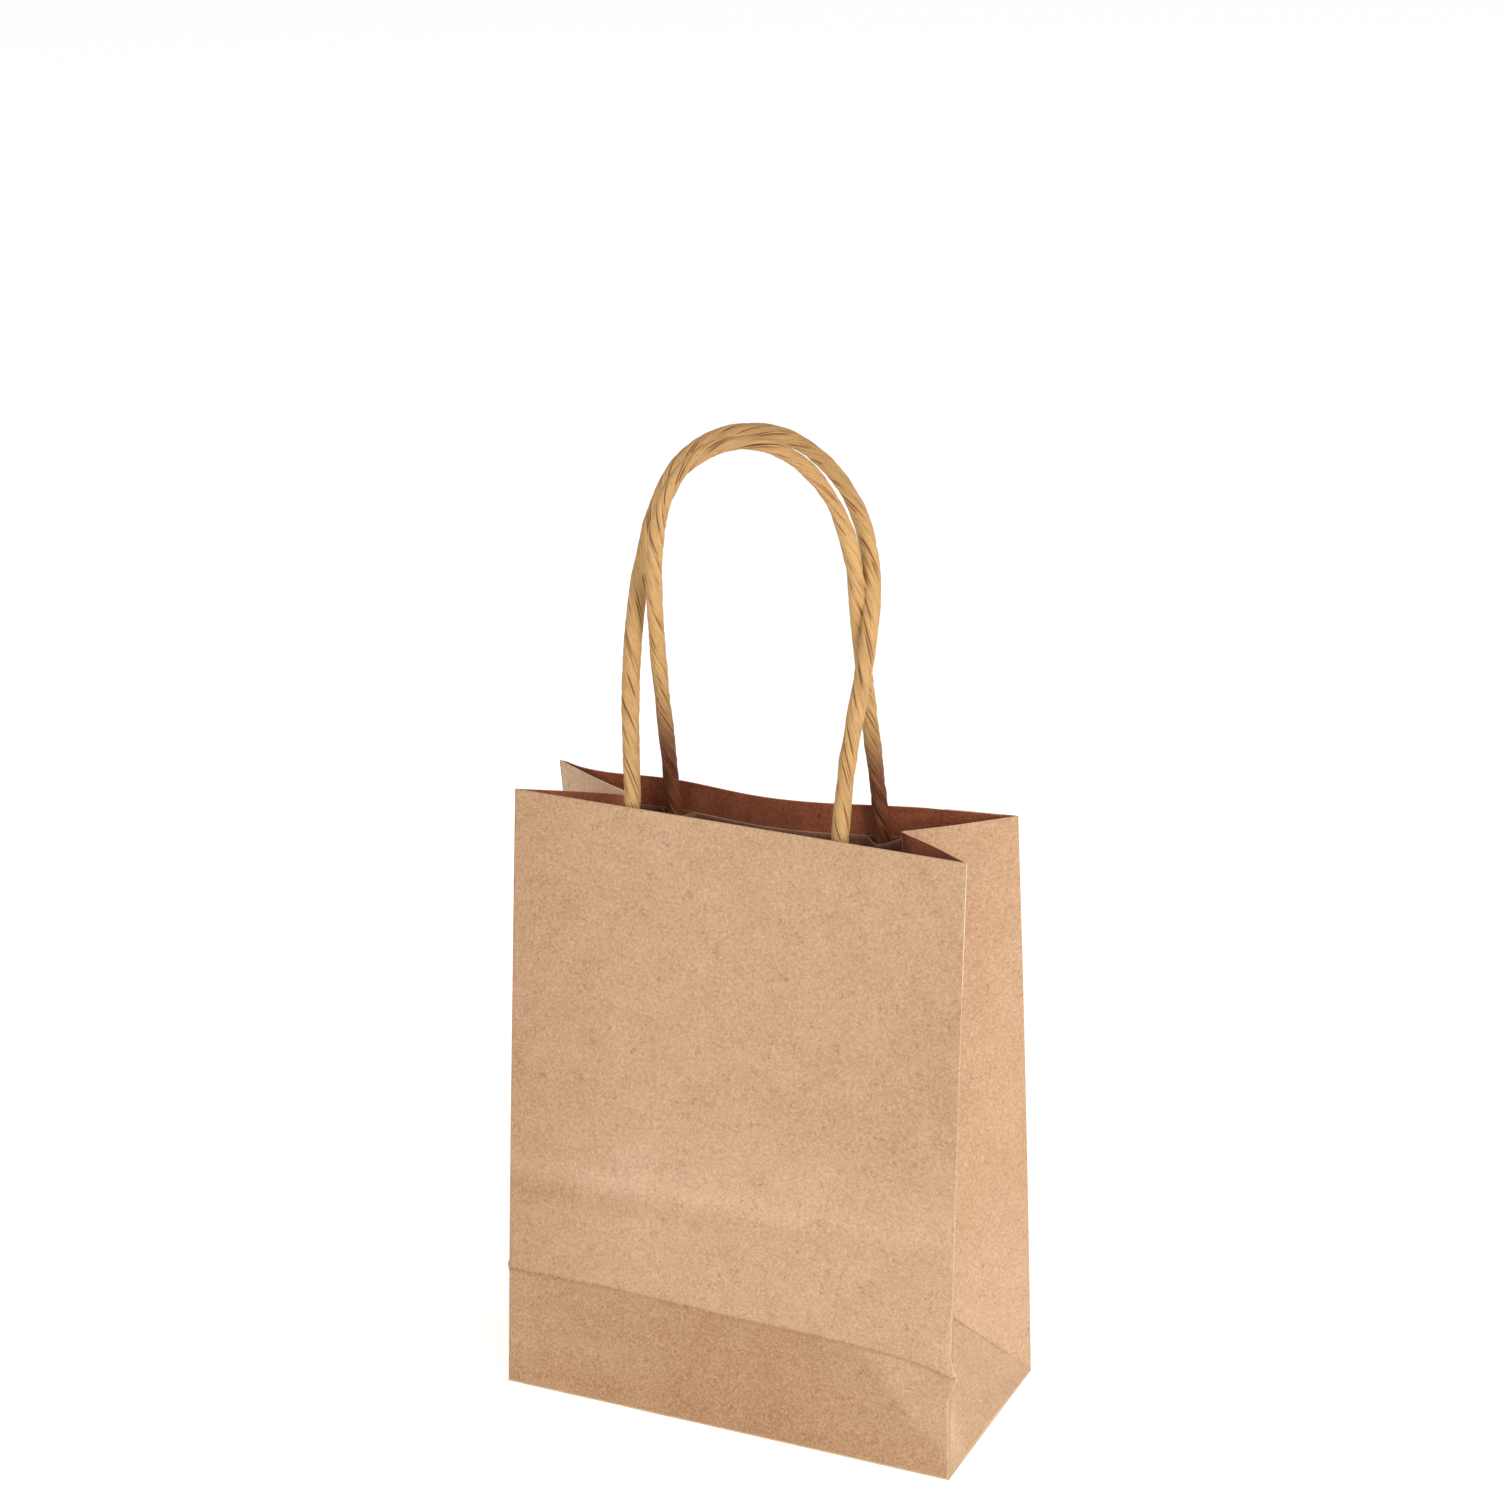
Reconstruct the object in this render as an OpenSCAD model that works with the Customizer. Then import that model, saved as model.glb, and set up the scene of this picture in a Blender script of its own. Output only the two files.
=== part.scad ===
// Kraft paper gift bag with two twisted paper handles.
// The bag is one creased sheet, drawn facet by facet, standing half open.
// Front is -Y, right is +X, and the bag stands on Z = 0.

/* [Bag] */
// Width of the bag across the front
body_w = 120; // [96:1:160]
// Depth of the bag at its bottom
body_d = 57.5; // [46:0.5:80]
// Height of the front and back panels along the paper
wall_h = 154.5; // [120:0.5:240]
// Depth of the mouth as the bag stands
mouth_d = 27.8; // [22:0.1:34]
// Thickness of the paper
paper_t = 0.2; // [0.12:0.01:0.3]

/* [Bottom and side folds] */
// How far the two long bottom flaps overlap
bottom_lap = 16; // [8:1:30]
// Length of the tucked end flaps inside the bottom
tuck_l = 26; // [15:1:28]
// Height of the triangular fold low on each side
side_fold_h = 33; // [20:1:45]
// Width of the glued seam flap on the back
seam_w = 18; // [10:1:30]
// Distance from the corner to the cut edge under the seam
seam_setback = 4; // [2:0.5:8]

/* [Handle patches] */
// Width of the glued patch that holds each handle
patch_w = 84; // [74:1:96]
// Height of the patch
patch_h = 30; // [20:1:40]
// Distance from the rim of the bag down to the patch
patch_drop = 8; // [4:0.5:14]
// Gap that the patch leaves round the cord
cord_clear = 0.05; // [0.02:0.01:0.1]

/* [Handles] */
// Diameter of the twisted paper cord
cord_d = 4.3; // [3:0.1:5]
// Half the spacing of the front handle's two roots
front_root_x = 27.7; // [25:0.1:30]
// Half the spacing of the back handle's two roots
back_root_x = 28.2; // [25:0.1:30]
// Half the width of the back loop above its legs
back_leg_x = 26.2; // [24.5:0.1:28]
// Height of the legs above the rim
leg_h = 50.7; // [40:0.1:70]
// Height at which the front loop has reached its full width
front_knee_z = 38; // [25:1:39]
// Height of the arch above the legs, on the back loop
arch_h = 40; // [30:0.5:50]
// How square the arch is, where 2 is an ellipse
arch_power = 2.7; // [2:0.1:3]
// Gap between the front loop and the back loop inside it
nest_gap = 0.4; // [0.3:0.1:1]
// Lean of each loop over the bag, from upright
handle_lean = 12; // [9:0.5:14]
// Length of cord glued inside the patch
end_l = 26; // [15:1:28]

/* [Clearances] */
// Space between layers of paper that slide on each other
layer_gap = 0.15; // [0.1:0.05:0.3]
// Space on each side of a crease that folds as the mouth moves
fold_gap = 0.4; // [0.3:0.1:0.8]
// Width at the rim of the part of a side that stays beside its panel
web_top = 0.3; // [0.2:0.1:2]
// Space on each side of the middle crease of a side
crease_gap = 0.8; // [0.6:0.1:1.5]
// Space on each side of a handle's bending point
bend_gap = 0.4; // [0.3:0.1:0.8]
// Rise of the side webs' lower edge, which swings as the mouth moves
web_rise = 2.4; // [2:0.1:4]

/* [Hidden] */
$fn = 48;

FRONT = -1;
BACK = 1;
LEFT = -1;
RIGHT = 1;

KRAFT = [0.80, 0.65, 0.49];
KRAFT_SIDE = [0.84, 0.70, 0.54];
KRAFT_LOW = [0.74, 0.58, 0.43];
PATCH = [0.72, 0.54, 0.38];
CORD = [0.82, 0.66, 0.42];

// Lean of the front and back panels, from upright
lean = asin((body_d - mouth_d) / 2 / wall_h);
// Height of the rim
rim_z = wall_h * cos(lean);
// Wall pieces start above the layers of the bottom
foot_z = 3 * paper_t + layer_gap;
// Middle of the web's paper, one layer inside the lower gusset
web_x = body_w / 2 - paper_t - layer_gap - paper_t / 2;
cord_r = cord_d / 2;
// Middle of the cord, measured in from the panel's outer face
cord_in = 2 * paper_t + cord_r + cord_clear;
// How far the front loop's centreline lies outside the back loop's
nest = cord_d + nest_gap;
// The cord's tube: sides, rings on each leg and angle between rings on the arch
cord_sides = 12;
leg_rings = 14;
arch_step = 5;

// Point where line p + s*u meets line q + t*v, in the plane
function cross2(a, b) = a.x * b.y - a.y * b.x;
function meet(p, u, q, v) = p + u * (cross2(q - p, v) / cross2(u, v));
function unit(v) = v / norm(v);
function left_of(u) = [-u.y, u.x];

// A side's crease points on its front half, at the right of the bag
panel_in_y = paper_t / cos(lean);
foot_mid = [web_x, 0, 0];
rim_corner = [web_x, -mouth_d / 2 + panel_in_y + web_top + fold_gap, rim_z];
// Half of the side's paper, which is half the bag's depth, folds in at the rim
rim_sag = 1.6;
rim_mid = [
    web_x - sqrt(pow(body_d / 2, 2) - pow(mouth_d / 2, 2) - pow(rim_sag, 2)),
    0,
    rim_z - rim_sag
];

// Places parts drawn on a panel: X across, Y in from its outer face, Z up the paper
module on_panel(side) {
    mirror([0, side == BACK ? 1 : 0, 0])
        translate([0, -body_d / 2, 0])
            rotate([-lean, 0, 0])
                children();
}

// Turns a part of the bag's right front quarter into the same part of another quarter
module quarter(lr, side) {
    mirror([lr == LEFT ? 1 : 0, 0, 0])
        mirror([0, side == BACK ? 1 : 0, 0])
            children();
}

module sheet(x0, x1, z0, z1, layer = 0) {
    translate([x0, layer * paper_t, z0])
        cube([x1 - x0, paper_t, z1 - z0]);
}

// ---- Bottom ----

module bottom_flap(side, layer) {
    color(KRAFT_LOW)
        mirror([0, side == BACK ? 1 : 0, 0])
            translate([-body_w / 2 + paper_t, -body_d / 2, layer * paper_t])
                cube([body_w - 2 * paper_t, (body_d + bottom_lap) / 2, paper_t]);
}

module end_tuck(lr) {
    edge = body_w / 2 - paper_t;
    half = body_d / 2 - paper_t;
    color(KRAFT_LOW)
        mirror([lr == LEFT ? 1 : 0, 0, 0])
            translate([0, 0, 2 * paper_t])
                linear_extrude(paper_t)
                    polygon([
                        [edge, -half], [edge, half],
                        [edge - tuck_l, half - tuck_l], [edge - tuck_l, tuck_l - half]
                    ]);
}

module lower_gusset(lr) {
    half = body_d / 2 - paper_t;
    color(KRAFT_SIDE)
        mirror([lr == LEFT ? 1 : 0, 0, 0])
            translate([body_w / 2 - paper_t, 0, 0])
                rotate([90, 0, 90])
                    linear_extrude(paper_t)
                        polygon([[-half, 0], [half, 0], [0, side_fold_h]]);
}

// ---- Walls ----

module front_panel() {
    color(KRAFT) on_panel(FRONT) sheet(-body_w / 2, body_w / 2, foot_z, wall_h);
}

module back_panel() {
    color(KRAFT) on_panel(BACK) sheet(-body_w / 2, body_w / 2 - seam_setback, foot_z, wall_h);
}

module seam_flap() {
    color(KRAFT) on_panel(BACK) sheet(body_w / 2 - seam_w, body_w / 2, foot_z, wall_h, layer = -1);
}

// The part of a side that stays flat beside the front or back panel.
// start is the distance from the panel's outer face to the web.
module side_web(lr, side, start) {
    // Line along the panel and line along the crease, in (Y, Z)
    panel_p = [-body_d / 2 + start / cos(lean), 0];
    panel_u = [sin(lean), cos(lean)];
    crease_u = unit([rim_corner.y, rim_corner.z]);
    crease_p = left_of(crease_u) * fold_gap;
    foot_u = unit([body_d / 2, web_rise]);
    foot_p = [-body_d / 2, foot_z];
    color(KRAFT_SIDE)
        quarter(lr, side)
            translate([web_x - paper_t / 2, 0, 0])
                rotate([90, 0, 90])
                    linear_extrude(paper_t)
                        polygon([
                            meet(panel_p, panel_u, foot_p, foot_u),
                            meet(crease_p, crease_u, foot_p, foot_u),
                            meet(crease_p, crease_u, [0, rim_z], [1, 0]),
                            meet(panel_p, panel_u, [0, rim_z], [1, 0])
                        ]);
}

// The triangle of a side that folds in: foot, rim corner and rim middle
module side_fold(lr, side) {
    u = unit(rim_corner - foot_mid);
    n = unit(cross(rim_mid - foot_mid, u));
    v = cross(n, u);
    // The triangle in its own plane: X up the crease, Y towards the middle
    top = [norm(rim_corner - foot_mid), 0];
    mid = [(rim_mid - foot_mid) * u, (rim_mid - foot_mid) * v];
    inward = mid.y < 0 ? -1 : 1;
    crease_u = unit(mid);
    crease_p = [crease_u.y, -crease_u.x] * crease_gap * inward;
    hinge_p = [0, fold_gap * inward];
    foot_p = [foot_z + web_rise, 0];
    color(KRAFT_SIDE)
        quarter(lr, side)
            multmatrix([
                [u.x, v.x, n.x, foot_mid.x],
                [u.y, v.y, n.y, foot_mid.y],
                [u.z, v.z, n.z, foot_mid.z]
            ])
                translate([0, 0, -paper_t / 2])
                    linear_extrude(paper_t)
                        polygon([
                            meet(hinge_p, [1, 0], crease_p, crease_u),
                            meet(hinge_p, [1, 0], top, mid - top),
                            meet(crease_p, crease_u, top, mid - top)
                        ]);
}

// ---- Handle patches ----

module patch_base(side) {
    top = wall_h - patch_drop;
    color(PATCH) on_panel(side) sheet(-patch_w / 2, patch_w / 2, top - patch_h, top, layer = 1);
}

// Strip glued over the cord's ends, with a hump over each
module patch_cover(side, root_x) {
    hump_r = cord_r + cord_clear + paper_t;
    color(PATCH)
        on_panel(side)
            translate([0, 0, wall_h - patch_drop - patch_h])
                linear_extrude(patch_h)
                    difference() {
                        union() {
                            translate([-patch_w / 2, 2 * paper_t]) square([patch_w, paper_t]);
                            for (x = [-root_x, root_x]) hump(x, hump_r, 2 * paper_t);
                        }
                        for (x = [-root_x, root_x]) hump(x, hump_r - paper_t, 0);
                    }
}

// Outline of a hump of the patch: straight sides from its foot and a round top
module hump(x, r, foot) {
    intersection() {
        translate([x, cord_in]) circle(r);
        translate([x - r, cord_in]) square([2 * r, r]);
    }
    translate([x - r, foot]) square([2 * r, cord_in - foot]);
}

// The straight end of a handle's cord, glued in the patch, up to the rim
module handle_end(side, x) {
    bottom = wall_h - patch_drop - end_l;
    color(CORD)
        on_panel(side)
            translate([x, cord_in, bottom])
                cylinder(r = cord_r, h = wall_h - bend_gap - bottom);
}

// ---- Handles ----

// Eases from 0 to 1 with level ends
function ease(t) = (1 - cos(180 * t)) / 2;

// The back loop's centreline above its legs is a flattened ellipse, in (X, Z)
function arch_point(angle) = [
    back_leg_x * cos(angle),
    leg_h + arch_h * pow(abs(sin(angle)), 2 / arch_power)
];
function arch_normal(angle) =
    -left_of(unit(arch_point(angle + arch_step / 2) - arch_point(angle - arch_step / 2)));

// Legs rise from their roots and ease out to the loop's full width at the knee
function leg_point(z, root_x, leg_x, knee_z) =
    [root_x + (leg_x - root_x) * ease(min(z / knee_z, 1)), z];

function leg(root_x, leg_x, knee_z) = [
    for (i = [0:leg_rings - 1])
        leg_point(bend_gap + (leg_h - bend_gap) * i / leg_rings, root_x, leg_x, knee_z)
];
function arch(offset) = [
    for (angle = [0:arch_step:90])
        angle == 0 ? [back_leg_x + offset, leg_h]
        : arch_point(angle) + arch_normal(angle) * offset
];
// One side of the loop from its root to its top, then the other side mirrored
function loop_path(root_x, knee_z, offset) =
    let (half = concat(leg(root_x, back_leg_x + offset, knee_z), arch(offset)))
    concat(half, [for (i = [len(half) - 2:-1:0]) [-half[i].x, half[i].y]]);

// A round tube swept along a path in the XZ plane
module tube(path, r) {
    n = len(path);
    rings = [
        for (i = [0:n - 1])
            let (t = unit(path[min(i + 1, n - 1)] - path[max(i - 1, 0)]), out = -left_of(t))
            for (k = [0:cord_sides - 1])
                let (a = 360 * k / cord_sides, c = path[i] + out * r * cos(a))
                [c.x, r * sin(a), c.y]
    ];
    walls = [
        for (i = [0:n - 2], k = [0:cord_sides - 1])
            let (j = (k + 1) % cord_sides)
            [i * cord_sides + k, (i + 1) * cord_sides + k,
             (i + 1) * cord_sides + j, i * cord_sides + j]
    ];
    polyhedron(rings, concat(
        walls,
        [[for (k = [0:cord_sides - 1]) k]],
        [[for (k = [cord_sides - 1:-1:0]) (n - 1) * cord_sides + k]]
    ));
}

module handle(side, root_x, knee_z, offset) {
    color(CORD)
        mirror([0, side == BACK ? 1 : 0, 0])
            translate([0, -body_d / 2 + cord_in * cos(lean) + wall_h * sin(lean),
                       wall_h * cos(lean) - cord_in * sin(lean)])
                rotate([-handle_lean, 0, 0])
                    tube(loop_path(root_x, knee_z, offset), cord_r);
}

bottom_flap(FRONT, 0);  // base_front_flap
bottom_flap(BACK, 1);  // base_back_flap
end_tuck(LEFT);  // base_left_tuck
end_tuck(RIGHT);  // base_right_tuck
lower_gusset(LEFT);  // left_lower_gusset
lower_gusset(RIGHT);  // right_lower_gusset
front_panel();
side_web(LEFT, FRONT, paper_t);  // front_left_web
side_web(RIGHT, FRONT, paper_t);  // front_right_web
patch_base(FRONT);  // front_patch_base
patch_cover(FRONT, front_root_x);  // front_patch_cover
handle_end(FRONT, -front_root_x);  // front_handle_end_left
handle_end(FRONT, front_root_x);  // front_handle_end_right
back_panel();
side_web(LEFT, BACK, paper_t);  // back_left_web
side_web(RIGHT, BACK, 0);  // back_right_web
seam_flap();
patch_base(BACK);  // back_patch_base
patch_cover(BACK, back_root_x);  // back_patch_cover
handle_end(BACK, -back_root_x);  // back_handle_end_left
handle_end(BACK, back_root_x);  // back_handle_end_right
side_fold(LEFT, FRONT);  // left_front_fold
side_fold(RIGHT, FRONT);  // right_front_fold
side_fold(LEFT, BACK);  // left_back_fold
side_fold(RIGHT, BACK);  // right_back_fold
handle(FRONT, front_root_x, front_knee_z, nest);  // front_handle
handle(BACK, back_root_x, leg_h, 0);  // back_handle
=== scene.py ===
"""Kraft paper gift bag with two twisted paper cord handles, modelled round the packed frame.

The paper is worked out in millimetres on the flat sheet, across and up each wall, and every
point becomes metres when its mesh is made. The bag stands on the floor with its front towards -Y.
"""

import math

import bmesh
import bpy
from mathutils import Matrix, Vector, noise


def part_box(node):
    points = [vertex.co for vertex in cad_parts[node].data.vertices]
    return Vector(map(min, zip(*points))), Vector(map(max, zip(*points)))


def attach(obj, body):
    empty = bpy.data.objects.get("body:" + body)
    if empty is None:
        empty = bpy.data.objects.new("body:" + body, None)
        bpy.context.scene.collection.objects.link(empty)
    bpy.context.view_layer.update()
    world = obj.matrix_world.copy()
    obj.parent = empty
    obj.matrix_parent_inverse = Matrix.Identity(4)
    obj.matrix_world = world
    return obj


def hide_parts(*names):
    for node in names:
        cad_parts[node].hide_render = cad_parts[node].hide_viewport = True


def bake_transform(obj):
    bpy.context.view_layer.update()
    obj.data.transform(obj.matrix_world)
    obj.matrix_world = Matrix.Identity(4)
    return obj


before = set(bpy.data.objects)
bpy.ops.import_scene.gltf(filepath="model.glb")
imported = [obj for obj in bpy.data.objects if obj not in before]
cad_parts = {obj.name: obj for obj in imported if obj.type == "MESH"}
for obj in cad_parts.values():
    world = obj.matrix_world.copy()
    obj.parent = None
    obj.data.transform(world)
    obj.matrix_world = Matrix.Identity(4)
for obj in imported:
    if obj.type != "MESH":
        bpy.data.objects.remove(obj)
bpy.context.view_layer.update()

bl_info = {
    "name": "Kraft Paper Gift Bag",
    "version": (1, 0, 0),
    "blender": (4, 5, 0),
    "location": "View3D > Sidebar > Gift Bag",
    "description": "A folded kraft paper bag with twisted paper cord handles, on its packed frame",
    "category": "Add Mesh",
}

MM = 0.001
FRONT, BACK = -1, 1
LEFT, RIGHT = -1, 1

HALF_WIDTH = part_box("front_panel")[1].x / MM
HALF_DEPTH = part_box("base_back_flap")[1].y / MM
RIM_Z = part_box("front_panel")[1].z / MM
MOUTH_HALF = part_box("seam_flap")[0].y / MM
WALL_HEIGHT = math.hypot(RIM_Z, HALF_DEPTH - MOUTH_HALF)
RISE = RIM_Z / WALL_HEIGHT
PATCH_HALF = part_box("front_patch_base")[1].x / MM
PATCH_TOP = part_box("front_patch_base")[1].z / MM / RISE
PATCH_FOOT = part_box("front_patch_base")[0].z / MM / RISE
SEAM_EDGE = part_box("seam_flap")[0].x / MM
PANEL_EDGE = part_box("back_panel")[1].x / MM
SEAM_GAP = 0.06  # between the back sheet and the glued flap over it
PATCH_GAP = 0.05  # between a wall and each strip of its patch

# Every side has its middle crease half the bag's depth from each corner, and its lowest fold as high.
FOLD = HALF_DEPTH
FOOT = {FRONT: 0.2, BACK: 0.4}
CREASE_TOP = {LEFT: 151.9, RIGHT: 152.3}
CREASE_KNEE = 27.0
BODY_OF_WALL = {FRONT: "front_wall", BACK: "back_wall"}
NAME_OF = {FRONT: "front", BACK: "back"}
SIDE_NAME = {LEFT: "left", RIGHT: "right"}

# Where each cord runs: how far across, and how far up its own leaning loop from the rim.
FRONT_LOOP = (
    (-30.3, 9.0),
    (-31.2, 17.5),
    (-31.9, 26.1),
    (-32.2, 35.1),
    (-32.1, 44.1),
    (-31.5, 53.1),
    (-30.1, 62.4),
    (-28.1, 71.4),
    (-25.0, 79.7),
    (-19.2, 86.1),
    (-11.2, 90.3),
    (-2.3, 91.9),
    (6.6, 90.6),
    (14.6, 86.6),
    (21.2, 80.4),
    (25.8, 72.6),
    (28.4, 63.8),
    (29.4, 54.6),
    (29.1, 45.5),
    (28.3, 36.6),
    (27.3, 27.7),
    (26.4, 18.8),
    (26.0, 9.7),
)
BACK_LOOP = (
    (-27.3, 6.0),
    (-27.1, 14.0),
    (-26.9, 22.0),
    (-26.6, 31.2),
    (-26.2, 40.6),
    (-25.5, 50.1),
    (-24.4, 59.7),
    (-22.5, 69.2),
    (-19.1, 78.0),
    (-13.8, 85.7),
    (-6.3, 91.3),
    (2.6, 93.9),
    (11.5, 92.2),
    (18.8, 86.5),
    (23.5, 78.2),
    (25.8, 68.8),
    (26.3, 59.4),
    (26.1, 49.8),
    (26.1, 40.3),
    (26.2, 30.9),
    (26.4, 21.4),
    (26.7, 12.0),
)

# The low crease of the front wall: how far across, and how high. It drops at its crumpled right end.
FRONT_CREASE = (
    (-60, 31.2),
    (-29, 31.7),
    (0, 31.0),
    (34, 30.7),
    (47, 30.2),
    (53, 29.4),
    (57, 28.4),
    (60, 27.3),
)
# The crumpled front right corner: how high, and how far it stands out to the right.
CORNER_BENDS = (
    (0, 0),
    (10, -0.3),
    (16, -0.5),
    (20.8, -0.65),
    (24.5, 0.8),
    (27, 1.75),
    (29.5, 0.5),
    (33.2, -0.2),
    (39, -0.1),
    (50, 0),
)

# Where the folds of the twisted paper lie round a cord, in turns, and how long each one stays deep.
CORD_FOLDS = (
    (0.03, 11.0),
    (0.07, 7.0),
    (0.12, 12.0),
    (0.31, 8.0),
    (0.46, 14.0),
    (0.51, 7.0),
    (0.57, 10.0),
    (0.78, 9.0),
    (0.84, 6.0),
)
CORD_SIDES = 96

# What the camera looks at, and how far it stands to the right of that line and above it, in metres.
LOOK_AT = Vector((0.0, 0.0, 0.080))
CAMERA_SHIFT = (-0.00239, 0.08326)


def length_property(name, description, default, low=0.0):
    """A size in metres, shown in the scene's own unit."""
    return bpy.props.FloatProperty(
        name=name,
        description=description,
        default=default,
        min=low,
        precision=5,
        subtype="DISTANCE",
        unit="LENGTH",
    )


def strength_property(name, description, default, high):
    """A strength, from nothing up to a limit."""
    return bpy.props.FloatProperty(name=name, description=description, default=default, min=0.0, max=high)


def angle_property(name, description, degrees):
    """An angle, given in degrees and shown in the scene's own unit."""
    return bpy.props.FloatProperty(
        name=name,
        description=description,
        default=math.radians(degrees),
        subtype="ANGLE",
        unit="ROTATION",
    )


def colour_property(name, description, default):
    """A colour in linear light."""
    return bpy.props.FloatVectorProperty(
        name=name,
        description=description,
        default=default,
        size=3,
        min=0.0,
        max=1.0,
        subtype="COLOR",
    )


class GiftBagShape(bpy.types.PropertyGroup):
    """Sizes of the folded paper."""

    paper: length_property("Paper", "Thickness of the kraft paper", 0.0002, 0.00005)
    front_left: length_property("Front left rim", "Depth of the front left corner at the rim", 0.0113)
    front_right: length_property("Front right rim", "Depth of the front right corner at the rim", 0.0168)
    back_left: length_property("Back left rim", "Depth of the back left corner at the rim", 0.0118)
    back_right: length_property("Back right rim", "Depth of the back right corner at the rim", 0.0171)
    rim_shift: length_property("Rim shift", "How far the rim leans to the left", 0.0007)
    back_bow: length_property("Back bow", "How far the back rim bows into the bag", 0.0066)
    fold_ridge: length_property("Fold ridge", "How proud the low crease of a wall stands", 0.00045)
    cockle: length_property("Cockle", "Height of the slow waves in the paper", 0.00016)


class GiftBagCords(bpy.types.PropertyGroup):
    """Sizes of the twisted paper cords."""

    diameter: length_property("Diameter", "Thickness of a cord", 0.0041, 0.001)
    cut_length: length_property("Cut length", "Length of one cord before it was bent and glued", 0.285, 0.1)
    lean: angle_property("Lean", "How far each handle leans over the mouth", 12.0)
    pitch: length_property("Twist", "Length of one whole turn of the twist", 0.0295, 0.005)
    crease_depth: length_property("Crease depth", "Depth of the deepest crease in a cord", 0.00042)
    end_length: length_property("Glued end", "Length of cord glued inside a patch", 0.026, 0.005)


class GiftBagFinish(bpy.types.PropertyGroup):
    """Colours of the paper and the cords."""

    outer: colour_property("Outside", "Kraft paper seen from outside", (0.470, 0.293, 0.172))
    # Painted shade: the inside of the bag gets a darker, redder copy of the kraft, standing in for the
    # shade inside it.
    inner: colour_property("Inside", "Kraft paper seen from inside the bag", (0.300, 0.088, 0.040))
    cut_edge: colour_property("Cut edge", "Cut and worn edges of the paper", (0.700, 0.540, 0.350))
    # Painted shade: the patches lie inside the bag, so their kraft gets a much darker colour that stands in
    # for the shade there.
    patch: colour_property("Patch", "The strips that hold the cord ends", (0.190, 0.078, 0.042))
    cord: colour_property("Cord", "Twisted paper cord", (0.490, 0.280, 0.104))
    # Painted shade: the dark colour painted into a cord's creases and over its shaded parts near the rim.
    cord_crease_shade: colour_property("Cord crease", "The deep creases of a cord", (0.130, 0.027, 0.007))
    fibre: strength_property("Fibre", "How strongly the fibres show", 1.0, 3.0)


class GiftBagStage(bpy.types.PropertyGroup):
    """Camera and light."""

    azimuth: angle_property("Azimuth", "How far the camera stands round to the right of the front", 25.11)
    elevation: angle_property("Elevation", "How high the camera stands above the bag", 18.96)
    roll: angle_property("Roll", "Turn of the camera about its own line of sight", -0.97)
    distance: length_property("Distance", "From the camera to the middle of the bag", 0.80795, 0.1)
    lens: bpy.props.FloatProperty(
        name="Lens",
        description="Focal length of the camera, in millimetres",
        default=78.74,
        min=10.0,
    )
    sky: strength_property("Sky", "Strength of the even white light", 0.455, 10.0)
    key: strength_property("Key light", "Power of the large soft light, in watts", 20.0, 1000.0)
    floor_glow: strength_property("Floor glow", "Light given by the white floor itself", 0.58, 10.0)


# Numbers along the paper


def smooth(value):
    """An eased step from 0 to 1."""
    value = min(max(value, 0.0), 1.0)
    return value * value * (3.0 - 2.0 * value)


def bell(distance, width):
    """A soft hump that is 1 in its middle."""
    return math.exp(-((distance / width) ** 2))


def along(points, value):
    """The height of a line drawn straight from each chosen point to the next."""
    if value <= points[0][0]:
        return points[0][1]
    for (x0, y0), (x1, y1) in zip(points, points[1:]):
        if value <= x1:
            return y0 + (y1 - y0) * (value - x0) / (x1 - x0)
    return points[-1][1]


def evenly(low, high, step):
    """Values from low up to, but without, high, about a step apart."""
    count = max(1, round((high - low) / step))
    return [low + (high - low) * i / count for i in range(count)]


def wall_rows(foot, crease):
    """Heights up a wall, close together at its low crease and its two edges."""
    low_count, high_count, power = 22, 78, 1.5
    low, high = foot + 0.35, WALL_HEIGHT - 0.35
    rows = [foot]
    rows += [low + (crease - low) * (1 - (1 - i / low_count) ** power) for i in range(low_count)]
    rows += [crease + (high - crease) * (i / high_count) ** power for i in range(high_count + 1)]
    return rows + [WALL_HEIGHT]


def columns(low, high, low_corner=True, high_corner=True, step=1.6):
    """Places across a sheet, close together where it ends in a worn fold."""
    near = (0.0, 0.15, 0.4, 0.8, 1.4, 2.4)
    left = [low + d for d in near] if low_corner else [low, low + 0.6]
    right = [high - d for d in near] if high_corner else [high, high - 0.6]
    return left + evenly(left[-1] + step, right[-1], step) + right[::-1]


# The shape of the folded paper, in millimetres


def shape():
    """The sizes that the user may change."""
    return bpy.context.scene.gift_bag_shape


def corner_depth(side, face, height):
    """How far a corner stands from the middle of the bag, front to back."""
    sizes = shape()
    rims = {
        (LEFT, FRONT): (sizes.front_left, 0.6),
        (RIGHT, FRONT): (sizes.front_right, 0.5),
        (LEFT, BACK): (sizes.back_left, 0.6),
        (RIGHT, BACK): (sizes.back_right, 0.8),
    }
    rim, bow = rims[side, face]
    t = height / WALL_HEIGHT
    return HALF_DEPTH + (rim / MM - HALF_DEPTH) * t + 4.0 * t * (1.0 - t) * bow


def corner(side, face, height):
    """A point on a corner of the bag."""
    shift = shape().rim_shift / MM * height / WALL_HEIGHT
    return Vector((side * HALF_WIDTH - shift, face * corner_depth(side, face, height), height * RISE))


def corner_kink(side, face, height):
    """How far a corner of the front wall stands out to the right, where the low crease meets it."""
    if (side, face) == (RIGHT, FRONT):
        return along(CORNER_BENDS, height)
    if (side, face) == (LEFT, FRONT):
        return -0.45 * max(0.0, 1.0 - abs(height - 31.5) / 1.6)
    return 0.0


def crease_height(face, across):
    """Height of the low crease that runs across a wall."""
    if face == BACK:
        return FOLD + 0.25 - 0.4 * across / HALF_WIDTH
    return along(FRONT_CREASE, across)


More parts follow.
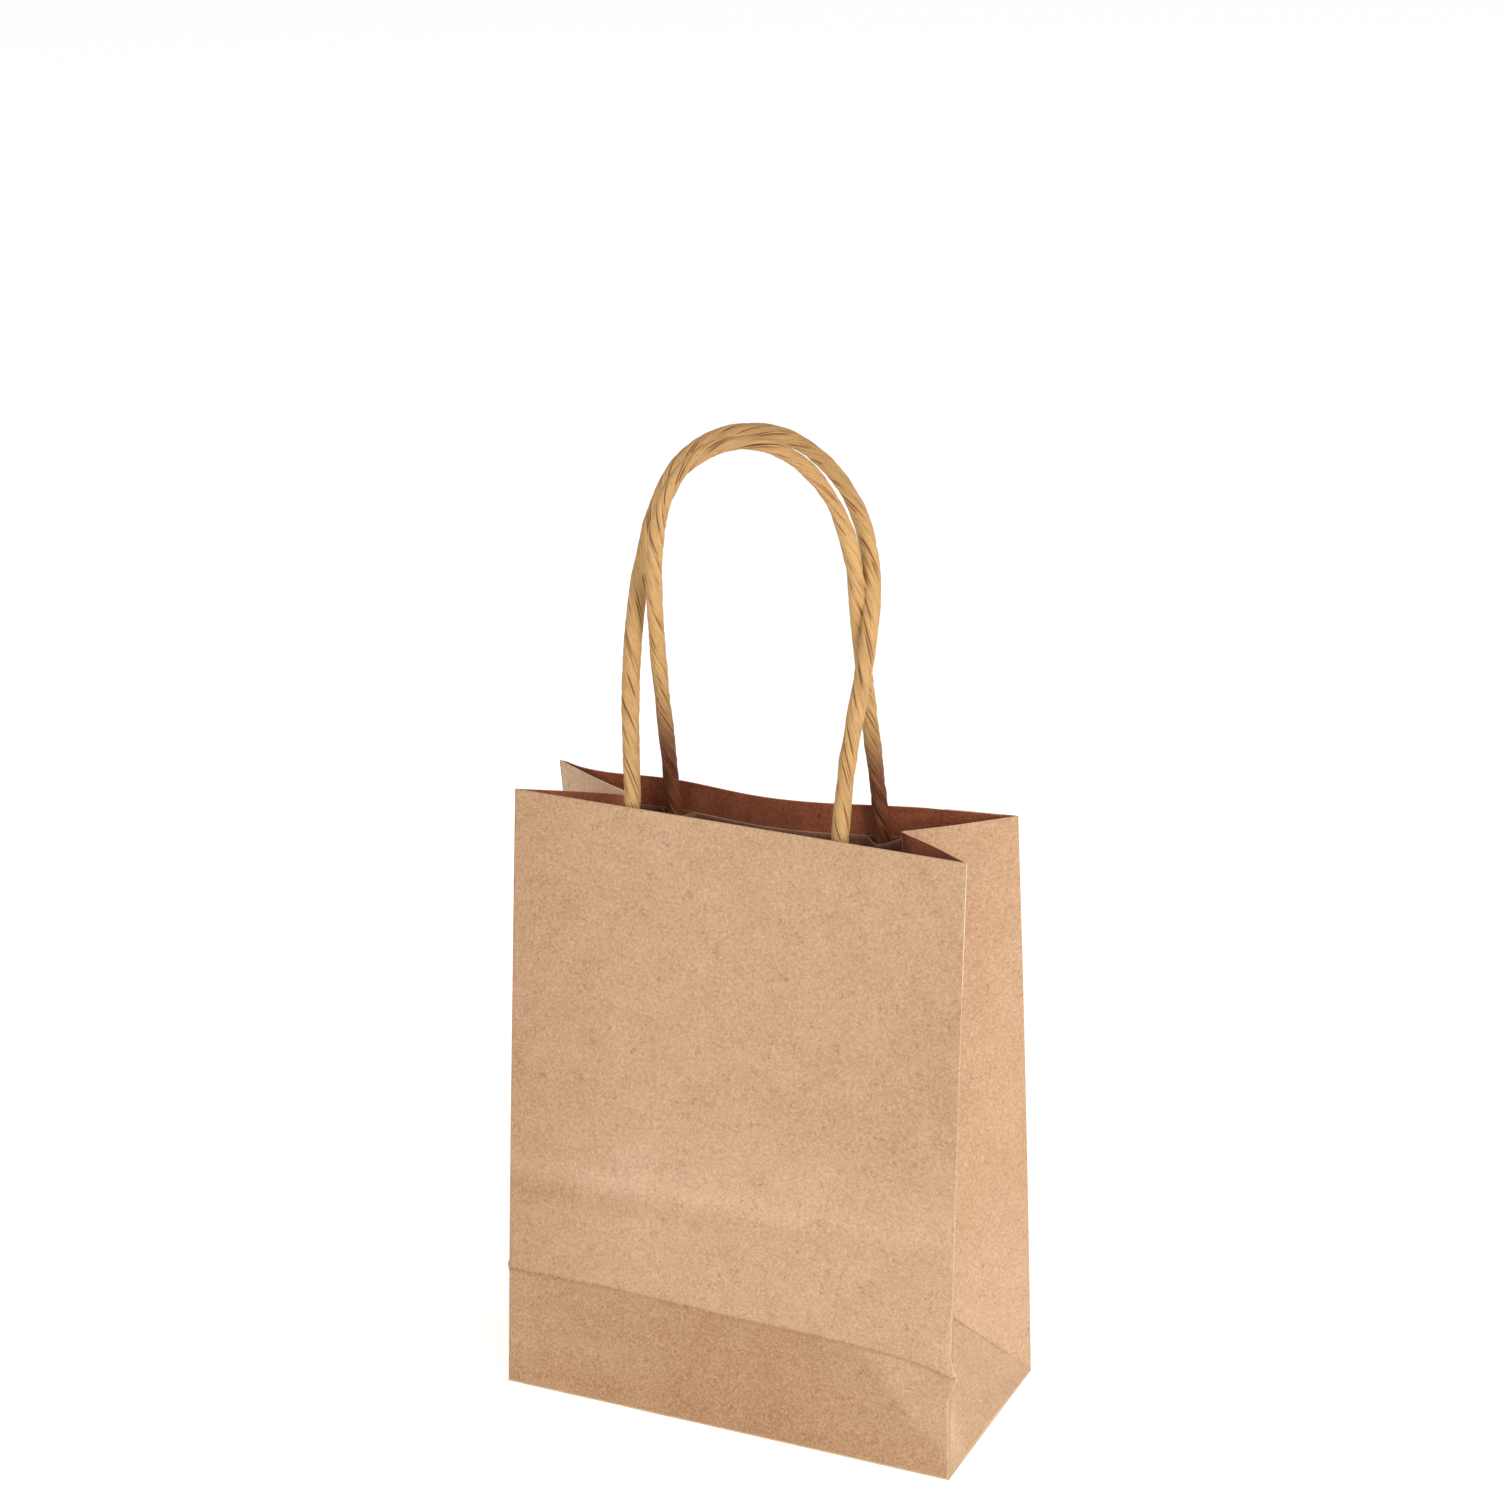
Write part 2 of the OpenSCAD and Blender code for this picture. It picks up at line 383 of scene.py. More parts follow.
def wall_relief(face, across, height):
    """How far a wall stands out from its flat plane."""
    sizes = shape()
    crease = crease_height(face, across)
    ridge = sizes.fold_ridge / MM * (1.0 + 1.2 * smooth((across - 15.0) / 40.0))
    over = height - crease
    relief = ridge * (bell(over, 9.0) if over > 0 else bell(over, 1.2))
    relief += 0.34 * bell(height - 54.5, 5.0) * smooth((HALF_WIDTH - abs(across)) / 6.0)
    edge = min(HALF_WIDTH - abs(across), 14.0) / 14.0
    wave = noise.noise(Vector((across / 34.0, height / 27.0, 4.0 + face)))
    wave += 0.5 * noise.noise(Vector((across / 13.0, height / 15.0, 9.0 + face)))
    return relief * smooth((HALF_WIDTH - abs(across)) / 1.2) + sizes.cockle / MM * wave * smooth(edge)


def back_bow(across, height):
    """How far the back wall bows into the bag near its rim."""
    rim = shape().back_bow / MM * bell(across - 2.0, 30.0) + 2.9 * bell(across + 46.0, 13.0)
    ends = 1.0 - bell(HALF_WIDTH - abs(across), 4.0)
    return rim * ends * smooth((height - 55.0) / (WALL_HEIGHT - 48.0))


def inward(face):
    """The direction from a wall into the bag."""
    lean = math.asin((HALF_DEPTH - MOUTH_HALF) / WALL_HEIGHT)
    return Vector((0.0, -face * math.cos(lean), -math.sin(lean)))


def wall_point(face, across, height, inset=0.0):
    """A point on the front or back wall, or that far inside it."""
    share = (across + HALF_WIDTH) / (2.0 * HALF_WIDTH)
    point = corner(LEFT, face, height).lerp(corner(RIGHT, face, height), share)
    offset = inset - wall_relief(face, across, height)
    if face == BACK:
        offset += back_bow(across, height)
    side = RIGHT if across > 0 else LEFT
    from_corner = HALF_WIDTH - abs(across)
    point.x += corner_kink(side, face, height) * math.exp(-from_corner / 3.0)
    return point + inward(face) * offset + worn_fold(side, face, from_corner)


def worn_fold(side, face, distance):
    """The last fraction of a millimetre before a corner turns in, towards the other sheet."""
    reach = 0.4
    if distance >= reach:
        return Vector((0.0, 0.0, 0.0))
    turn = 0.12 * (1.0 - distance / reach) ** 2
    return Vector((-side * turn, -face * turn, 0.0))


def middle_crease(side, height):
    """A point on the crease in the middle of a side."""
    level = max(height, FOLD)
    mean = (corner_depth(side, FRONT, level) + corner_depth(side, BACK, level)) / 2.0
    depth = math.sqrt(FOLD**2 - mean**2)
    rise = CREASE_KNEE + (CREASE_TOP[side] - CREASE_KNEE) * (level - FOLD) / (WALL_HEIGHT - FOLD)
    shift = shape().rim_shift / MM * level / WALL_HEIGHT
    return Vector((side * (HALF_WIDTH - depth) - shift, 0.3, rise))


def side_point(side, face, across, height):
    """A point on half a side: across is from the corner to the middle crease, and past both folds."""
    start, middle = corner(side, face, height), middle_crease(side, height)
    out = Vector((side * 0.6, -face * 0.8, 0.0))
    if height >= FOLD:
        share = across / FOLD
        point = start.lerp(middle, min(share, 1.0))
        point += out * 0.5 * math.sin(math.pi * min(share, 1.0)) * smooth((height - FOLD) / 45.0)
        if across > FOLD:
            other = (corner(side, -face, height) - middle).normalized()
            point += other * (across - FOLD) - Vector((side * 0.35, 0.0, 0.0))
    else:
        foot, knee = corner(side, face, 0.0), corner(side, face, FOLD)
        point = foot + (knee - foot) * (height - across) / FOLD + (middle - foot) * across / FOLD
        point += (start - foot.lerp(knee, height / FOLD)) * math.exp(-across / 6.0)
        point.x -= side * 0.25 * smooth((across - height) / 0.8)
    wave = noise.noise(Vector((across / 14.0, height / 22.0, 20.0 + side + 5.0 * face)))
    from_diagonal = abs(height - across) if height < FOLD else math.inf
    edge = smooth(min(across, max(FOLD - across, 0.0), from_diagonal) / 8.0)
    point += out * shape().cockle / MM * 1.3 * wave * edge
    point.x += corner_kink(side, face, height) * math.exp(-across / 3.0)
    return point + worn_fold(side, face, across)


def low_triangle_point(side, across, height):
    """A point on the low triangle of a side: across is from the front corner to the back one."""
    apex = middle_crease(side, FOLD)
    share = height / FOLD
    x = side * HALF_WIDTH + (apex.x - side * HALF_WIDTH) * share
    sag = 0.35 * math.sin(math.pi * min(share / 0.95, 1.0)) * smooth((across - height) / 9.0)
    sag *= smooth((2.0 * HALF_DEPTH - across - height) / 9.0)
    return Vector((x + side * (0.04 - sag), -HALF_DEPTH + across + apex.y * share, apex.z * share))


# Meshes


def finished_mesh(name, bm):
    """A new object at the origin, smooth, made from millimetres."""
    bmesh.ops.scale(bm, vec=(MM, MM, MM), verts=bm.verts)
    for face in bm.faces:
        face.smooth = True
    mesh = bpy.data.meshes.new(name)
    bm.to_mesh(mesh)
    bm.free()
    piece = bpy.data.objects.new(name, mesh)
    bpy.context.scene.collection.objects.link(piece)
    return piece


def paper_sheet(name, wide, high, place, outward, wear=None, tone=None, merge=False):
    """A sheet of paper from a grid: place(i, j) says where the point in column i and row j goes."""
    bm = bmesh.new()
    bmesh.ops.create_grid(bm, x_segments=wide - 1, y_segments=high - 1, size=0.5)
    bm.verts.ensure_lookup_table()
    wear_layer = bm.verts.layers.float.new("wear")
    painted_shading_layer = bm.verts.layers.float.new("tone")
    for j in range(high):
        for i in range(wide):
            vertex = bm.verts[j * wide + i]
            vertex.co = place(i, j)
            vertex[wear_layer] = wear(i, j) if wear else 0.0
            vertex[painted_shading_layer] = tone(i, j) if tone else 0.0
    if merge:
        bmesh.ops.remove_doubles(bm, verts=bm.verts, dist=0.002)
    bm.normal_update()
    total = Vector((0.0, 0.0, 0.0))
    for face in bm.faces:
        total += face.normal * face.calc_area()
    if total.dot(Vector(outward)) < 0:
        bmesh.ops.reverse_faces(bm, faces=bm.faces)
    return finished_mesh(name, bm)


def give_thickness(piece, thickness):
    """Turns a skin into paper: outside, inside and cut edge have a material each."""
    solid = piece.modifiers.new("paper", "SOLIDIFY")
    solid.thickness = thickness
    solid.offset = -1.0
    solid.use_rim = True
    solid.material_offset = 1
    solid.material_offset_rim = 2


def add_materials(piece, *materials):
    """The piece's materials, in slot order."""
    for material in materials:
        piece.data.materials.append(material)


# Materials


def math_node(tree, operation, *values):
    """A Math node. A value is a number, or the socket that feeds it."""
    node = tree.nodes.new("ShaderNodeMath")
    node.operation = operation
    for index, value in enumerate(values):
        if isinstance(value, (int, float)):
            node.inputs[index].default_value = value
        else:
            tree.links.new(value, node.inputs[index])
    return node.outputs[0]


def noise_node(tree, place, scale, detail, roughness=0.5, distortion=0.0):
    """A noise pattern, in cycles per metre."""
    node = tree.nodes.new("ShaderNodeTexNoise")
    node.inputs["Scale"].default_value = scale
    node.inputs["Detail"].default_value = detail
    node.inputs["Roughness"].default_value = roughness
    node.inputs["Distortion"].default_value = distortion
    tree.links.new(place, node.inputs["Vector"])
    return node.outputs["Fac"]


def range_node(tree, value, low, high, to_low=0.0, to_high=1.0):
    """Maps a value from one range to another, held at both ends."""
    node = tree.nodes.new("ShaderNodeMapRange")
    node.inputs["From Min"].default_value = low
    node.inputs["From Max"].default_value = high
    node.inputs["To Min"].default_value = to_low
    node.inputs["To Max"].default_value = to_high
    tree.links.new(value, node.inputs["Value"])
    return node.outputs["Result"]


def colour_mix(tree, share, first, second):
    """Mixes two colours, each a constant or a socket."""
    node = tree.nodes.new("ShaderNodeMix")
    node.data_type = "RGBA"
    tree.links.new(share, node.inputs[0])
    for name, value in (("A", first), ("B", second)):
        found = [s for s in node.inputs if s.name == name and s.type == "RGBA"][0]
        if isinstance(value, bpy.types.NodeSocket):
            tree.links.new(value, found)
        else:
            found.default_value = (*value, 1.0)
    return [s for s in node.outputs if s.type == "RGBA"][0]


def attribute(tree, name, kind="Fac"):
    """A number or a vector stored on the piece's own points."""
    node = tree.nodes.new("ShaderNodeAttribute")
    node.attribute_name = name
    return node.outputs[kind]


def kraft_fibres():
    """The cloudy pulp, fine grain and stray dark fibres of kraft paper, as one shader group."""
    group = bpy.data.node_groups.get("kraft_fibres")
    if group:
        return group
    group = bpy.data.node_groups.new("kraft_fibres", "ShaderNodeTree")
    group.interface.new_socket(name="Place", in_out="INPUT", socket_type="NodeSocketVector")
    for name in ("Clouds", "Grain", "Hairs", "Height"):
        group.interface.new_socket(name=name, in_out="OUTPUT", socket_type="NodeSocketFloat")
    start = group.nodes.new("NodeGroupInput")
    end = group.nodes.new("NodeGroupOutput")
    place = start.outputs["Place"]
    clouds = noise_node(group, place, 115.0, 3.0, 0.55)
    grain = noise_node(group, place, 1500.0, 4.0, 0.75, 0.4)
    lines = noise_node(group, place, 520.0, 1.5, 0.5, 1.2)
    near_line = math_node(group, "ABSOLUTE", math_node(group, "SUBTRACT", lines, 0.5))
    hair = range_node(group, near_line, 0.004, 0.018, 1.0, 0.0)
    sparse = range_node(group, noise_node(group, place, 330.0, 1.0), 0.52, 0.62)
    hairs = math_node(group, "MULTIPLY", hair, sparse)
    height = math_node(group, "MULTIPLY_ADD", hairs, 0.35, math_node(group, "MULTIPLY", grain, 0.8))
    for name, value in (("Clouds", clouds), ("Grain", grain), ("Hairs", hairs), ("Height", height)):
        group.links.new(value, end.inputs[name])
    return group


def new_material(name):
    """An empty material, its tree and its shader."""
    material = bpy.data.materials.new(name)
    material.use_nodes = True
    shader = material.node_tree.nodes["Principled BSDF"]
    return material, material.node_tree, shader


def add_fibres(tree):
    """The outputs of the kraft fibre group, laid out on the piece's own coordinates."""
    place = tree.nodes.new("ShaderNodeTexCoord").outputs["Object"]
    fibres = tree.nodes.new("ShaderNodeGroup")
    fibres.node_tree = kraft_fibres()
    tree.links.new(place, fibres.inputs["Place"])
    return fibres.outputs


def add_bump(tree, shader, height, strength, distance):
    """Small relief, with its depth in metres."""
    bump = tree.nodes.new("ShaderNodeBump")
    bump.inputs["Strength"].default_value = strength
    bump.inputs["Distance"].default_value = distance
    tree.links.new(height, bump.inputs["Height"])
    tree.links.new(bump.outputs["Normal"], shader.inputs["Normal"])


def paper_material(name, colour, clouds, grain, hair_strength, cream_edges=False):
    """Kraft paper: darker and lighter pulp, dark fibres, a worn cream fold, and a slight tooth."""
    finish = bpy.context.scene.gift_bag_finish
    clouds, grain, hair_strength = (v * finish.fibre for v in (clouds, grain, hair_strength))
    material, tree, shader = new_material(name)
    fibres = add_fibres(tree)
    light = math_node(tree, "MULTIPLY_ADD", fibres["Clouds"], clouds, -(clouds + grain) / 2.0)
    light = math_node(tree, "MULTIPLY_ADD", fibres["Grain"], grain, light)
    # Painted light and shade, stored on the piece's points, add to the paper's lightness.
    light = math_node(tree, "ADD", light, attribute(tree, "tone"))
    tinted = tree.nodes.new("ShaderNodeVectorMath")
    tinted.operation = "MULTIPLY_ADD"
    tree.links.new(light, tinted.inputs[0])
    lighter = (0.72, 1.0, 1.3)
    tinted.inputs[1].default_value = [c * k for c, k in zip(colour, lighter)]
    tinted.inputs[2].default_value = colour
    hairs = math_node(tree, "MULTIPLY", fibres["Hairs"], hair_strength)
    darker = (0.52, 0.42, 0.34)
    surface = colour_mix(tree, hairs, tinted.outputs[0], [c * k for c, k in zip(colour, darker)])
    surface = colour_mix(tree, attribute(tree, "wear"), surface, finish.cut_edge)
    if cream_edges:
        normal = tree.nodes.new("ShaderNodeNewGeometry").outputs["Normal"]
        parts = tree.nodes.new("ShaderNodeSeparateXYZ")
        tree.links.new(normal, parts.inputs[0])
        upright = math_node(tree, "ABSOLUTE", parts.outputs["Z"])
        surface = colour_mix(tree, range_node(tree, upright, 0.3, 0.6, 1.0, 0.0), surface, finish.cut_edge)
    tree.links.new(surface, shader.inputs["Base Color"])
    rough = math_node(tree, "MULTIPLY_ADD", fibres["Grain"], 0.16, 0.70)
    tree.links.new(rough, shader.inputs["Roughness"])
    shader.inputs["Specular IOR Level"].default_value = 0.3
    add_bump(tree, shader, fibres["Height"], 0.35, 0.00008)
    return material


def cord_material():
    """Twisted paper cord: streaks that follow the twist, painted shade in its creases and near the rim, and
    a dull polish.
    """
    finish = bpy.context.scene.gift_bag_finish
    material, tree, shader = new_material("cord_paper_twisted")
    twist = attribute(tree, "twist", "Vector")
    streaks = noise_node(tree, twist, 5.5, 3.0, 0.6)
    fine = noise_node(tree, twist, 22.0, 2.0, 0.6)
    light = math_node(tree, "MULTIPLY_ADD", streaks, 1.1, -0.04)
    light = math_node(tree, "MULTIPLY_ADD", fine, 0.75, light)
    light = math_node(tree, "MULTIPLY_ADD", add_fibres(tree)["Grain"], 0.3, light)
    tinted = tree.nodes.new("ShaderNodeVectorMath")
    tinted.operation = "SCALE"
    tinted.inputs[0].default_value = finish.cord
    tree.links.new(light, tinted.inputs["Scale"])
    # The crease attribute holds painted shade: dark lines in the creases, and the cord's shade near the
    # rim.
    surface = colour_mix(tree, attribute(tree, "crease"), tinted.outputs[0], finish.cord_crease_shade)
    tree.links.new(surface, shader.inputs["Base Color"])
    tree.links.new(math_node(tree, "MULTIPLY_ADD", streaks, 0.2, 0.5), shader.inputs["Roughness"])
    shader.inputs["Specular IOR Level"].default_value = 0.35
    add_bump(tree, shader, math_node(tree, "MULTIPLY_ADD", fine, 0.4, streaks), 0.8, 0.0003)
    return material


def material_of(key):
    """The bag's materials by name, each made once."""
    found = bpy.data.materials.get(key)
    if found:
        return found
    if key == "cord_paper_twisted":
        return cord_material()
    finish = bpy.context.scene.gift_bag_finish
    colour, clouds, grain, hairs = {
        "kraft_outside": (finish.outer, 0.26, 1.6, 0.75),
        "kraft_bottom": (finish.outer, 0.26, 1.6, 0.75),
        # Painted shade: the inside faces of the paper take the dark inner colour.
        "kraft_inside_shaded": (finish.inner, 1.3, 2.4, 0.6),
        "kraft_cut_edge": (finish.cut_edge, 0.2, 0.3, 0.3),
        # Painted shade: the patch strip and its cut edge are darkened for the shade inside the bag.
        "patch_strip_shaded": (finish.patch, 1.3, 2.4, 0.6),
        "patch_cut_edge_shaded": ([0.55 * c for c in finish.cut_edge], 0.2, 0.6, 0.3),
    }[key]
    return paper_material(key, colour, clouds, grain, hairs, cream_edges=key == "kraft_bottom")


def paper_layers():
    """Outside, inside and cut edge, for a piece that has been given thickness. The inside colour is painted
    shade.
    """
    return [material_of(key) for key in ("kraft_outside", "kraft_inside_shaded", "kraft_cut_edge")]


# Cords


def loop_root(face, side):
    """Where a cord's end lies: how far across the wall, and how far its middle is inside the wall."""
    first, last = (-28.7, 26.6) if face == FRONT else (-26.8, 27.6)
    radius = bpy.context.scene.gift_bag_cords.diameter / MM / 2.0
    return (first if side == LEFT else last), 0.5 + radius


def cord_end(face, side):
    """The glued end of a cord, from its cut end up to the patch's top edge and on to the rim."""
    across, inset = loop_root(face, side)
    end = bpy.context.scene.gift_bag_cords.end_length / MM
    heights = [PATCH_TOP - end + (WALL_HEIGHT - 0.5 - PATCH_TOP + end) * i / 6 for i in range(7)]
    points = []
    for height in heights:
        lift = 0.5 * smooth((height - PATCH_TOP) / 10.0)
        points.append(wall_point(face, across, height, inset + lift))
    return points


def loop_points(face):
    """The points one cord passes through, from its left end to its right end."""
    lean = bpy.context.scene.gift_bag_cords.lean
    left, right = cord_end(face, LEFT), cord_end(face, RIGHT)
    chosen = FRONT_LOOP if face == FRONT else BACK_LOOP
    points = []
    for across, up in chosen:
        share = smooth((across + 20.0) / 40.0)
        depth = left[-1].y + (right[-1].y - left[-1].y) * share - face * up * math.sin(lean)
        points.append(Vector((across, depth, RIM_Z + up * math.cos(lean))))
    return left + points + right[::-1]


def curve_point(p0, p1, p2, p3, t):
    """A point from p1 to p2 on a curve that runs through all four."""
    second = 2.0 * p0 - 5.0 * p1 + 4.0 * p2 - p3
    third = 3.0 * p1 - p0 - 3.0 * p2 + p3
    return 0.5 * (2.0 * p1 + (p2 - p0) * t + second * t * t + third * t**3)


def smooth_route(points, step=0.6, parts=40, passes=30):
    """A fine, even route through a few points, with its bends eased."""
    fine = []
    count = len(points)
    for i in range(count - 1):
        around = [points[min(max(k, 0), count - 1)] for k in range(i - 1, i + 3)]
        fine += [curve_point(*around, k / parts) for k in range(parts)]
    fine.append(points[-1].copy())
    fine = evenly_spaced(fine, step)
    for _ in range(passes):
        eased = [(a + 2.0 * b + c) / 4.0 for a, b, c in zip(fine, fine[1:], fine[2:])]
        fine = [fine[0], *eased, fine[-1]]
    return fine


def evenly_spaced(points, step):
    """The same line with its points evenly spaced."""
    lengths = [0.0]
    for a, b in zip(points, points[1:]):
        lengths.append(lengths[-1] + (b - a).length)
    count = round(lengths[-1] / step)
    spaced, i = [], 0
    for k in range(count + 1):
        goal = lengths[-1] * k / count
        while i < len(points) - 2 and lengths[i + 1] < goal:
            i += 1
        share = (goal - lengths[i]) / max(lengths[i + 1] - lengths[i], 1e-9)
        spaced.append(points[i].lerp(points[i + 1], share))
    return spaced


def turn_difference(a, b):
    """The shortest way between two turns, as a share of a whole one."""
    return abs((a - b + 0.5) % 1.0 - 0.5)


def cord_surface(turn, distance, seed):
    """How deep a cord is creased, and how dark its creases are painted as shade, at a share of a turn and a
    distance along it.
    """
    depth, dark = 0.0, 0.0
    deep_width, dark_width = 0.020, 0.012
    for index, (place, reach) in enumerate(CORD_FOLDS):
        drift = 0.03 * noise.noise(Vector((distance / 17.0, 3.0 * index, seed)))
        gate = noise.noise(Vector((distance / reach, 7.0 * index, seed + 2.0)))
        strength = smooth((gate + 0.12) / 0.34)
        away = turn_difference(turn, place + drift)
        depth += bell(away, deep_width) * strength
        dark += bell(away, dark_width) * strength
    ring = 2.0 * math.pi * turn
    lumps = noise.noise(Vector((math.cos(ring) * 3.0, math.sin(ring) * 3.0, distance / 16.0 + seed)))
    return depth + 0.36 * lumps, min(dark, 1.0)


def cord_shade(face, above_rim, turn, distance):
    """Painted shade on a cord near the rim and inside the bag, a little uneven round and along it."""
    if face == BACK:
        shade = 0.95 * smooth((30.0 - above_rim) / 24.0)
    else:
        shade = 0.85 * smooth((0.5 - above_rim) / 3.0)
    uneven = max(noise.noise(Vector((turn * 9.0, distance / 7.0, 3.0))), 0.0)
    return shade * (1.0 - 0.35 * uneven)


def cord_tube(name, face, route):
    """A cord as a closed tube whose columns follow the twist of the paper."""
    sizes = bpy.context.scene.gift_bag_cords
    radius = sizes.diameter / MM / 2.0
    radius *= 1.03 if face == FRONT else 0.96
    pitch, crease_depth = sizes.pitch / MM, sizes.crease_depth / MM
    seed = 11.0 if face == FRONT else 47.0
    count = len(route)
    bm = bmesh.new()
    bmesh.ops.create_grid(bm, x_segments=CORD_SIDES, y_segments=count - 1, size=0.5)
    bm.verts.ensure_lookup_table()
    # This layer holds painted shade for the cord's creases and for its shade near the rim.
    crease_shade_layer = bm.verts.layers.float.new("crease")
    twist_layer = bm.verts.layers.float_vector.new("twist")
    tangent = (route[1] - route[0]).normalized()
    across = tangent.orthogonal().normalized()
    distance = 0.0
    for j, centre in enumerate(route):
        ahead, behind = route[min(j + 1, count - 1)], route[max(j - 1, 0)]
        tangent = (ahead - behind).normalized()
        across = (across - tangent * across.dot(tangent)).normalized()
        other = tangent.cross(across)
        if j:
            distance += (centre - route[j - 1]).length
        from_end = min(j, count - 1 - j) * distance / max(j, 1)
        taper = 0.62 + 0.38 * smooth(from_end / 9.0)
        above_rim = centre.z - RIM_Z
        thin = 1.0 - 0.15 * smooth((above_rim - 62.0) / 18.0)
        swell = thin + 0.10 * noise.noise(Vector((distance / 9.0, seed, 1.0)))
        for i in range(CORD_SIDES + 1):
            turn = (i % CORD_SIDES) / CORD_SIDES
            angle = 2.0 * math.pi * (turn - distance / pitch)
            depth, dark = cord_surface(turn, distance, seed)
            oval = 1.0 + 0.045 * math.sin(2.0 * angle + seed + distance / 25.0)
            reach = radius * taper * swell * oval - crease_depth * depth
            vertex = bm.verts[j * (CORD_SIDES + 1) + i]
            vertex.co = centre + (across * math.cos(angle) + other * math.sin(angle)) * reach
            vertex[crease_shade_layer] = max(dark, cord_shade(face, above_rim, turn, distance))
            ring = 2.0 * math.pi * turn
            vertex[twist_layer] = Vector((math.cos(ring), math.sin(ring), distance / 60.0))
    bmesh.ops.remove_doubles(bm, verts=bm.verts, dist=0.0005)
    ends = [edge for edge in bm.edges if edge.is_boundary]
    bmesh.ops.holes_fill(bm, edges=ends, sides=0)
    bmesh.ops.recalc_face_normals(bm, faces=bm.faces)
    return finished_mesh(name, bm)


# Operators


class GIFTBAG_OT_camera(bpy.types.Operator):
    """Place the camera in front of the bag, a little to the right and above"""

    bl_idname = "gift_bag.camera"
    bl_label = "Camera"

    def execute(self, context):
        stage = context.scene.gift_bag_stage
        azimuth, elevation, roll = stage.azimuth, stage.elevation, stage.roll
        flat = math.cos(elevation)
        back = Vector((math.sin(azimuth) * flat, -math.cos(azimuth) * flat, math.sin(elevation)))
        right = Vector((math.cos(azimuth), math.sin(azimuth), 0.0))
        up = back.cross(right)
        place = LOOK_AT + back * stage.distance + right * CAMERA_SHIFT[0] + up * CAMERA_SHIFT[1]
        turned_right = right * math.cos(roll) + up * math.sin(roll)
        turned_up = up * math.cos(roll) - right * math.sin(roll)
        data = bpy.data.cameras.new("camera")
        data.lens = stage.lens
        data.sensor_width = 36.0
        data.clip_start = 0.01
        data.clip_end = 100.0
        camera = bpy.data.objects.new("camera", data)
        context.scene.collection.objects.link(camera)
        axes = Matrix((turned_right, turned_up, back)).transposed()
        camera.matrix_world = Matrix.Translation(place) @ axes.to_4x4()
        context.scene.camera = camera
        return {"FINISHED"}


class GIFTBAG_OT_handles(bpy.types.Operator):
    """Make the two twisted paper cord handles"""

    bl_idname = "gift_bag.handles"
    bl_label = "Cord Handles"

    def execute(self, context):
        for face in (FRONT, BACK):
            name = NAME_OF[face]
            route = smooth_route(loop_points(face))
            cord = cord_tube(f"{name}_cord", face, route)
            add_materials(cord, material_of("cord_paper_twisted"))
            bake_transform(cord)
            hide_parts(f"{name}_handle", f"{name}_handle_end_left", f"{name}_handle_end_right")
            across, inset = loop_root(face, LEFT)
            leaves = wall_point(face, across, PATCH_TOP, inset) * MM
        return {"FINISHED"}


def wall_painted_shading(face, across, height):
    """How much painted light and shade make a wall darker or lighter than its sheet, below and above its
    low crease.
    """
    # Painted shade darkens the strip below the low crease, and a painted highlight lightens its right end.
    below = smooth((crease_height(face, across) - height) / 1.5)
    light_corner = smooth((across - 34.0 - (28.0 - height)) / 6.0) if face == FRONT else 0.0
    middle = bell(across, 42.0)
    foot = 0.07 * smooth((13.0 - height) / 12.0)
    strip = -below * (0.09 + 0.15 * middle + foot) * (1.0 - 1.1 * light_corner)
    # A painted shadow just under the proud low crease.
    shadow = -0.36 * bell(height - crease_height(face, across) + 0.5, 0.42)
    # Lighter over the lower wall above the crease, darker at the left and at the upper right.
    lower = 0.10 * smooth((88.0 - height) / 24.0) * (1.0 - 0.4 * smooth((58.0 - height) / 12.0))
    lower *= (1.0 - below) * smooth((across + 60.0) / 40.0)
    left = -0.12 * smooth((-across - 15.0) / 50.0) * (1.0 - 0.6 * below)
    right = -0.06 * smooth((across - 25.0) / 30.0) * bell(height - 98.0, 26.0)
    # A painted highlight above a painted shade band, by the soft fold about 55 mm up.
    drift = across / HALF_WIDTH
    band = 0.11 * bell(height - 60.0 - drift, 2.8) - 0.09 * bell(height - 54.0 - drift, 3.0)
    band *= 0.5 + 0.5 * bell(drift + 0.5, 0.7)
    return strip + (shadow if face == FRONT else 0.5 * shadow) + lower + left + right + band


def seam_sink(face, across):
    """How far a wall's own sheet sinks inward to pass beneath the glued flap on the back."""
    if face == FRONT:
        return 0.0
    return (shape().paper / MM + SEAM_GAP) * smooth((across - SEAM_EDGE + 5.0) / 4.5)


def fold_wear(distance, height, foot=None):
    """How worn a fold is: a broken cream line at a corner, and a thin one at a wall's foot."""
    broken = 0.45 + 0.6 * noise.noise(Vector((height / 3.0, 2.0, 5.0)))
    corner_line = max(0.0, 1.0 - distance / 0.28) * broken
    foot_line = 0.0 if foot is None else 1.0 - (height - foot) / 0.36
    return min(max(corner_line, foot_line, 0.0), 1.0)


